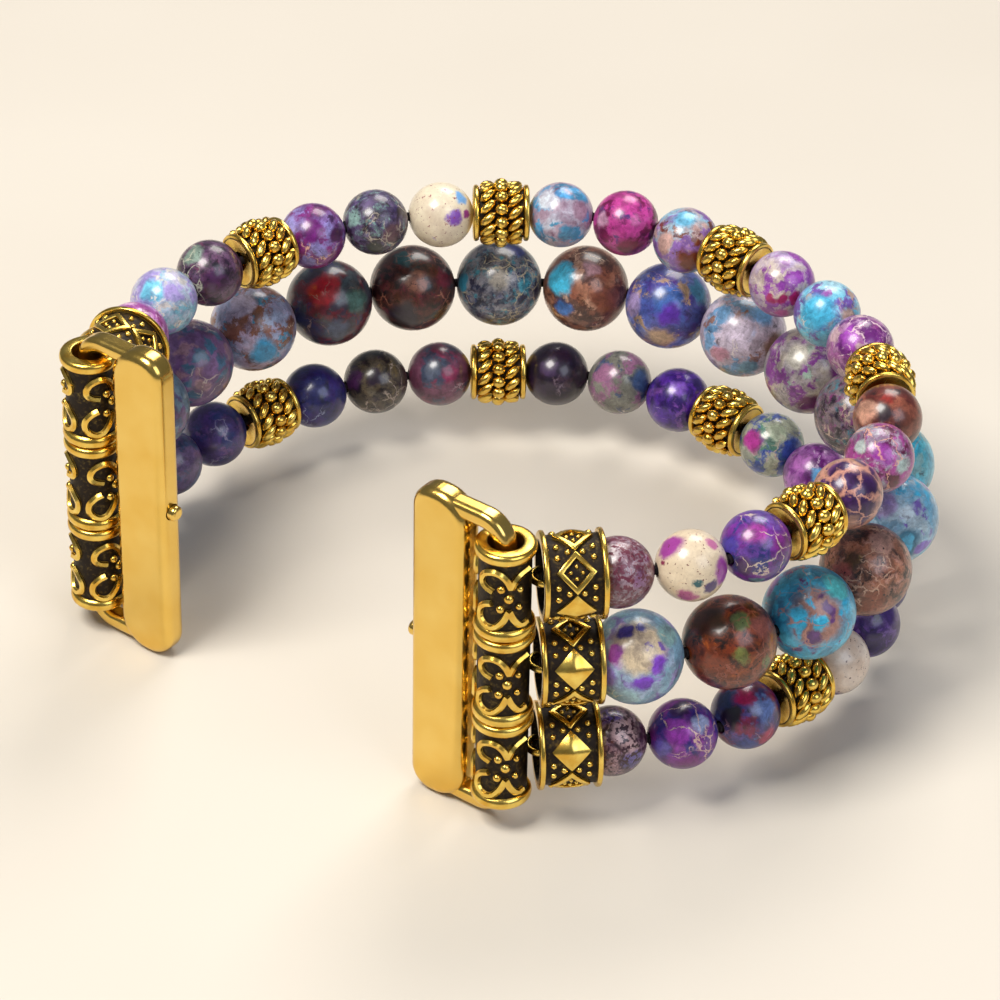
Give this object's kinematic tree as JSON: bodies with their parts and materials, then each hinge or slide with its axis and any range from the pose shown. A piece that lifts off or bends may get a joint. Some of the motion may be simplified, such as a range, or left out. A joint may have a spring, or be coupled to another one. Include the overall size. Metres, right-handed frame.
{
  "type": "bead watch band",
  "caption": "Stretch watch band of strung round stones and granulated spacers, with collars, tube bails and a hinged slide-in lug at each end",
  "frame": {"origin": "under the middle of the band's bounding box, on the surface that the band stands on", "axes": "+X from the left lug hinge to the right lug hinge, +Y to the back of the loop, +Z along the loop's axis, up"},
  "size_m": [0.0736, 0.0606, 0.0314],
  "materials": {
    "small_stone": "polished dyed jasper with mottled veins",
    "large_stone_01": "polished dyed jasper with mottled veins",
    "large_stone_02": "polished dyed jasper with mottled veins",
    "large_stone_03": "polished dyed jasper with mottled veins",
    "granulated_spacer": "antique gold plate, dark in the recesses",
    "large_stone_04": "polished dyed jasper with mottled veins",
    "large_stone_05": "polished dyed jasper with mottled veins",
    "large_stone_06": "polished dyed jasper with mottled veins",
    "large_stone_07": "polished dyed jasper with mottled veins",
    "large_stone_08": "polished dyed jasper with mottled veins",
    "large_stone_09": "polished dyed jasper with mottled veins",
    "elastic_cord": "matt elastic cord",
    "large_stone_10": "polished dyed jasper with mottled veins",
    "large_stone_11": "polished dyed jasper with mottled veins",
    "large_stone_12": "polished dyed jasper with mottled veins",
    "large_stone_13": "polished dyed jasper with mottled veins",
    "large_stone_14": "polished dyed jasper with mottled veins",
    "large_stone_15": "polished dyed jasper with mottled veins",
    "large_stone_16": "polished dyed jasper with mottled veins",
    "large_stone_17": "polished dyed jasper with mottled veins",
    "bail": "antique gold plate, dark in the recesses",
    "lug_gold": "polished pale gold plate",
    "spring_steel": "bright spring steel",
    "collar": "antique gold plate, dark in the recesses"
  },
  "bodies": {
    "column_01": {"small_stones_01": "small_stone"},
    "stone_01_turning": {"large_stone_01": "large_stone_01"},
    "column_02": {"small_stones_02": "small_stone"},
    "stone_02_turning": {"large_stone_02": "large_stone_02"},
    "column_03": {"large_stone_03": "large_stone_03"},
    "spacer_top_1_turning": {"spacer_top_1": "granulated_spacer"},
    "spacer_bottom_1_turning": {"spacer_bottom_1": "granulated_spacer"},
    "column_04": {"small_stones_04": "small_stone"},
    "stone_04_turning": {"large_stone_04": "large_stone_04"},
    "column_05": {"small_stones_05": "small_stone"},
    "stone_05_turning": {"large_stone_05": "large_stone_05"},
    "column_06": {"large_stone_06": "large_stone_06"},
    "spacer_top_2_turning": {"spacer_top_2": "granulated_spacer"},
    "spacer_bottom_2_turning": {"spacer_bottom_2": "granulated_spacer"},
    "column_07": {"small_stones_07": "small_stone"},
    "stone_07_turning": {"large_stone_07": "large_stone_07"},
    "column_08": {"small_stones_08": "small_stone"},
    "stone_08_turning": {"large_stone_08": "large_stone_08"},
    "column_09": {"large_stone_09": "large_stone_09", "elastic_cords": "elastic_cord"},
    "spacer_top_3_turning": {"spacer_top_3": "granulated_spacer"},
    "spacer_bottom_3_turning": {"spacer_bottom_3": "granulated_spacer"},
    "column_10": {"small_stones_10": "small_stone"},
    "stone_10_turning": {"large_stone_10": "large_stone_10"},
    "column_11": {"small_stones_11": "small_stone"},
    "stone_11_turning": {"large_stone_11": "large_stone_11"},
    "column_12": {"large_stone_12": "large_stone_12"},
    "spacer_top_4_turning": {"spacer_top_4": "granulated_spacer"},
    "spacer_bottom_4_turning": {"spacer_bottom_4": "granulated_spacer"},
    "column_13": {"small_stones_13": "small_stone"},
    "stone_13_turning": {"large_stone_13": "large_stone_13"},
    "column_14": {"small_stones_14": "small_stone"},
    "stone_14_turning": {"large_stone_14": "large_stone_14"},
    "column_15": {"large_stone_15": "large_stone_15"},
    "spacer_top_5_turning": {"spacer_top_5": "granulated_spacer"},
    "spacer_bottom_5_turning": {"spacer_bottom_5": "granulated_spacer"},
    "column_16": {"small_stones_16": "small_stone"},
    "stone_16_turning": {"large_stone_16": "large_stone_16"},
    "column_17": {"small_stones_17": "small_stone"},
    "stone_17_turning": {"large_stone_17": "large_stone_17"},
    "right_bails": {"right_bail_top": "bail", "right_bail_middle": "bail", "right_bail_bottom": "bail"},
    "right_frame": {"right_wire_frame": "lug_gold", "right_lug": "lug_gold"},
    "right_catch": {"right_lug_catch": "lug_gold", "right_catch_spring": "spring_steel"},
    "right_collar_top_turning": {"right_collar_top": "collar"},
    "right_collar_middle_turning": {"right_collar_middle": "collar"},
    "right_collar_bottom_turning": {"right_collar_bottom": "collar"},
    "left_bails": {"left_bail_top": "bail", "left_bail_middle": "bail", "left_bail_bottom": "bail"},
    "left_frame": {"left_wire_frame": "lug_gold", "left_lug": "lug_gold"},
    "left_catch": {"left_lug_catch": "lug_gold", "left_catch_spring": "spring_steel"},
    "left_collar_top_turning": {"left_collar_top": "collar"},
    "left_collar_middle_turning": {"left_collar_middle": "collar"},
    "left_collar_bottom_turning": {"left_collar_bottom": "collar"}
  },
  "joints": [
    {"name": "right_lug_hinge", "type": "hinge", "parent": "right_bails", "child": "right_frame", "pos_m": [0.0169, -0.02769, 0.0157], "axis": [0, 0, 1], "range_deg": [-30, 135]},
    {"name": "left_lug_hinge", "type": "hinge", "parent": "left_bails", "child": "left_frame", "pos_m": [-0.02784, -0.02769, 0.0157], "axis": [0, 0, 1], "range_deg": [-155, 8]},
    {"name": "right_end_link", "type": "hinge", "parent": "column_01", "child": "right_bails", "pos_m": [0.01887, -0.02492, 0.0157], "axis": [0, 0, 1], "range_deg": [-31, 9]},
    {"name": "left_end_link", "type": "hinge", "parent": "column_17", "child": "left_bails", "pos_m": [-0.02864, -0.02438, 0.0157], "axis": [0, 0, 1], "range_deg": [-14, 26]},
    {"name": "right_catch_slide", "type": "slide", "parent": "right_frame", "child": "right_catch", "axis": [1, 0, 0], "range_m": [0, 0.0006], "stiffness_N_per_m": 300, "springref_m": -0.0003, "deforming": ["right_catch_spring"]},
    {"name": "left_catch_slide", "type": "slide", "parent": "left_frame", "child": "left_catch", "axis": [-1, 0, 0], "range_m": [0, 0.0006], "stiffness_N_per_m": 300, "springref_m": -0.0003, "deforming": ["left_catch_spring"]},
    {"name": "flex_01", "type": "hinge", "parent": "column_02", "child": "column_01", "pos_m": [0.02751, -0.01669, 0.0157], "axis": [0, 0, 1], "range_deg": [-1, 17]},
    {"name": "flex_02", "type": "hinge", "parent": "column_03", "child": "column_02", "pos_m": [0.03153, -0.00955, 0.0157], "axis": [0, 0, 1], "range_deg": [-1, 17]},
    {"name": "flex_03", "type": "hinge", "parent": "column_04", "child": "column_03", "pos_m": [0.0333, -0.00154, 0.0157], "axis": [0, 0, 1], "range_deg": [-1, 19]},
    {"name": "flex_04", "type": "hinge", "parent": "column_05", "child": "column_04", "pos_m": [0.03235, 0.00661, 0.0157], "axis": [0, 0, 1], "range_deg": [-1, 19]},
    {"name": "flex_05", "type": "hinge", "parent": "column_06", "child": "column_05", "pos_m": [0.02881, 0.014, 0.0157], "axis": [0, 0, 1], "range_deg": [-1, 19]},
    {"name": "flex_06", "type": "hinge", "parent": "column_07", "child": "column_06", "pos_m": [0.02305, 0.01984, 0.0157], "axis": [0, 0, 1], "range_deg": [-1, 16]},
    {"name": "flex_07", "type": "hinge", "parent": "column_08", "child": "column_07", "pos_m": [0.01591, 0.02387, 0.0157], "axis": [0, 0, 1], "range_deg": [-1, 14]},
    {"name": "flex_08", "type": "hinge", "parent": "column_09", "child": "column_08", "pos_m": [0.00801, 0.02604, 0.0157], "axis": [0, 0, 1], "range_deg": [-1, 12], "deforming": ["elastic_cords"]},
    {"name": "flex_09", "type": "hinge", "parent": "column_09", "child": "column_10", "pos_m": [-0.00018, 0.02653, 0.0157], "axis": [0, 0, 1], "range_deg": [-13, 1]},
    {"name": "flex_10", "type": "hinge", "parent": "column_10", "child": "column_11", "pos_m": [-0.00826, 0.02516, 0.0157], "axis": [0, 0, 1], "range_deg": [-15, 1]},
    {"name": "flex_11", "type": "hinge", "parent": "column_11", "child": "column_12", "pos_m": [-0.01572, 0.02175, 0.0157], "axis": [0, 0, 1], "range_deg": [-14, 1]},
    {"name": "flex_12", "type": "hinge", "parent": "column_12", "child": "column_13", "pos_m": [-0.02213, 0.01664, 0.0157], "axis": [0, 0, 1], "range_deg": [-12, 1]},
    {"name": "flex_13", "type": "hinge", "parent": "column_13", "child": "column_14", "pos_m": [-0.02734, 0.0103, 0.0157], "axis": [0, 0, 1], "range_deg": [-12, 1]},
    {"name": "flex_14", "type": "hinge", "parent": "column_14", "child": "column_15", "pos_m": [-0.03111, 0.00302, 0.0157], "axis": [0, 0, 1], "range_deg": [-14, 1]},
    {"name": "flex_15", "type": "hinge", "parent": "column_15", "child": "column_16", "pos_m": [-0.03301, -0.00496, 0.0157], "axis": [0, 0, 1], "range_deg": [-16, 1]},
    {"name": "flex_16", "type": "hinge", "parent": "column_16", "child": "column_17", "pos_m": [-0.03264, -0.01315, 0.0157], "axis": [0, 0, 1], "range_deg": [-17, 1]},
    {"name": "right_collar_top_spin", "type": "hinge", "parent": "column_01", "child": "right_collar_top_turning", "pos_m": [0.01887, -0.02492, 0.0245], "axis": [0.7242, 0.6895, 0], "continuous": true},
    {"name": "right_collar_middle_spin", "type": "hinge", "parent": "column_01", "child": "right_collar_middle_turning", "pos_m": [0.01887, -0.02492, 0.0157], "axis": [0.7242, 0.6895, 0], "continuous": true},
    {"name": "right_collar_bottom_spin", "type": "hinge", "parent": "column_01", "child": "right_collar_bottom_turning", "pos_m": [0.01887, -0.02492, 0.0069], "axis": [0.7242, 0.6895, 0], "continuous": true},
    {"name": "left_collar_top_spin", "type": "hinge", "parent": "column_17", "child": "left_collar_top_turning", "pos_m": [-0.02864, -0.02438, 0.0245], "axis": [0.3354, -0.9421, 0], "continuous": true},
    {"name": "left_collar_middle_spin", "type": "hinge", "parent": "column_17", "child": "left_collar_middle_turning", "pos_m": [-0.02864, -0.02438, 0.0157], "axis": [0.3354, -0.9421, 0], "continuous": true},
    {"name": "left_collar_bottom_spin", "type": "hinge", "parent": "column_17", "child": "left_collar_bottom_turning", "pos_m": [-0.02864, -0.02438, 0.0069], "axis": [0.3354, -0.9421, 0], "continuous": true},
    {"name": "stone_01_spin", "type": "hinge", "parent": "column_01", "child": "stone_01_turning", "pos_m": [0.02454, -0.01952, 0.0157], "axis": [0.7242, 0.6895, 0], "continuous": true},
    {"name": "stone_02_spin", "type": "hinge", "parent": "column_02", "child": "stone_02_turning", "pos_m": [0.02952, -0.01312, 0.0157], "axis": [0.491, 0.8712, 0], "continuous": true},
    {"name": "spacer_top_1_spin", "type": "hinge", "parent": "column_03", "child": "spacer_top_1_turning", "pos_m": [0.0313, -0.0053, 0.0245], "axis": [0.2148, 0.9767, 0], "continuous": true},
    {"name": "spacer_bottom_1_spin", "type": "hinge", "parent": "column_03", "child": "spacer_bottom_1_turning", "pos_m": [0.0313, -0.0053, 0.0069], "axis": [0.2148, 0.9767, 0], "continuous": true},
    {"name": "stone_04_spin", "type": "hinge", "parent": "column_04", "child": "stone_04_turning", "pos_m": [0.03283, 0.00253, 0.0157], "axis": [-0.1148, 0.9934, 0], "continuous": true},
    {"name": "stone_05_spin", "type": "hinge", "parent": "column_05", "child": "stone_05_turning", "pos_m": [0.03058, 0.0103, 0.0157], "axis": [-0.432, 0.9019, 0], "continuous": true},
    {"name": "spacer_top_2_spin", "type": "hinge", "parent": "column_06", "child": "spacer_top_2_turning", "pos_m": [0.02491, 0.01591, 0.0245], "axis": [-0.7021, 0.7121, 0], "continuous": true},
    {"name": "spacer_bottom_2_spin", "type": "hinge", "parent": "column_06", "child": "spacer_bottom_2_turning", "pos_m": [0.02491, 0.01591, 0.0069], "axis": [-0.7021, 0.7121, 0], "continuous": true},
    {"name": "stone_07_spin", "type": "hinge", "parent": "column_07", "child": "stone_07_turning", "pos_m": [0.01948, 0.02185, 0.0157], "axis": [-0.8712, 0.491, 0], "continuous": true},
    {"name": "stone_08_spin", "type": "hinge", "parent": "column_08", "child": "stone_08_turning", "pos_m": [0.01196, 0.02496, 0.0157], "axis": [-0.9641, 0.2657, 0], "continuous": true},
    {"name": "spacer_top_3_spin", "type": "hinge", "parent": "column_09", "child": "spacer_top_3_turning", "pos_m": [0.0038, 0.02439, 0.0245], "axis": [-0.9982, 0.0594, 0], "continuous": true},
    {"name": "spacer_bottom_3_spin", "type": "hinge", "parent": "column_09", "child": "spacer_bottom_3_turning", "pos_m": [0.0038, 0.02439, 0.0069], "axis": [-0.9982, 0.0594, 0], "continuous": true},
    {"name": "stone_10_spin", "type": "hinge", "parent": "column_10", "child": "stone_10_turning", "pos_m": [-0.00422, 0.02585, 0.0157], "axis": [-0.986, -0.1667, 0], "continuous": true},
    {"name": "stone_11_spin", "type": "hinge", "parent": "column_11", "child": "stone_11_turning", "pos_m": [-0.01199, 0.02346, 0.0157], "axis": [-0.9093, -0.4162, 0], "continuous": true},
    {"name": "spacer_top_4_spin", "type": "hinge", "parent": "column_12", "child": "spacer_top_4_turning", "pos_m": [-0.01779, 0.01777, 0.0245], "axis": [-0.7816, -0.6238, 0], "continuous": true},
    {"name": "spacer_bottom_4_spin", "type": "hinge", "parent": "column_12", "child": "spacer_bottom_4_turning", "pos_m": [-0.01779, 0.01777, 0.0069], "axis": [-0.7816, -0.6238, 0], "continuous": true},
    {"name": "stone_13_spin", "type": "hinge", "parent": "column_13", "child": "stone_13_turning", "pos_m": [-0.02473, 0.01347, 0.0157], "axis": [-0.6348, -0.7727, 0], "continuous": true},
    {"name": "stone_14_spin", "type": "hinge", "parent": "column_14", "child": "stone_14_turning", "pos_m": [-0.02922, 0.00666, 0.0157], "axis": [-0.4603, -0.8878, 0], "continuous": true},
    {"name": "spacer_top_5_spin", "type": "hinge", "parent": "column_15", "child": "spacer_top_5_turning", "pos_m": [-0.03073, -0.00128, 0.0245], "axis": [-0.2318, -0.9728, 0], "continuous": true},
    {"name": "spacer_bottom_5_spin", "type": "hinge", "parent": "column_15", "child": "spacer_bottom_5_turning", "pos_m": [-0.03073, -0.00128, 0.0069], "axis": [-0.2318, -0.9728, 0], "continuous": true},
    {"name": "stone_16_spin", "type": "hinge", "parent": "column_16", "child": "stone_16_turning", "pos_m": [-0.03283, -0.00905, 0.0157], "axis": [0.0453, -0.999, 0], "continuous": true},
    {"name": "stone_17_spin", "type": "hinge", "parent": "column_17", "child": "stone_17_turning", "pos_m": [-0.03126, -0.01701, 0.0157], "axis": [0.3354, -0.9421, 0], "continuous": true}
  ]
}
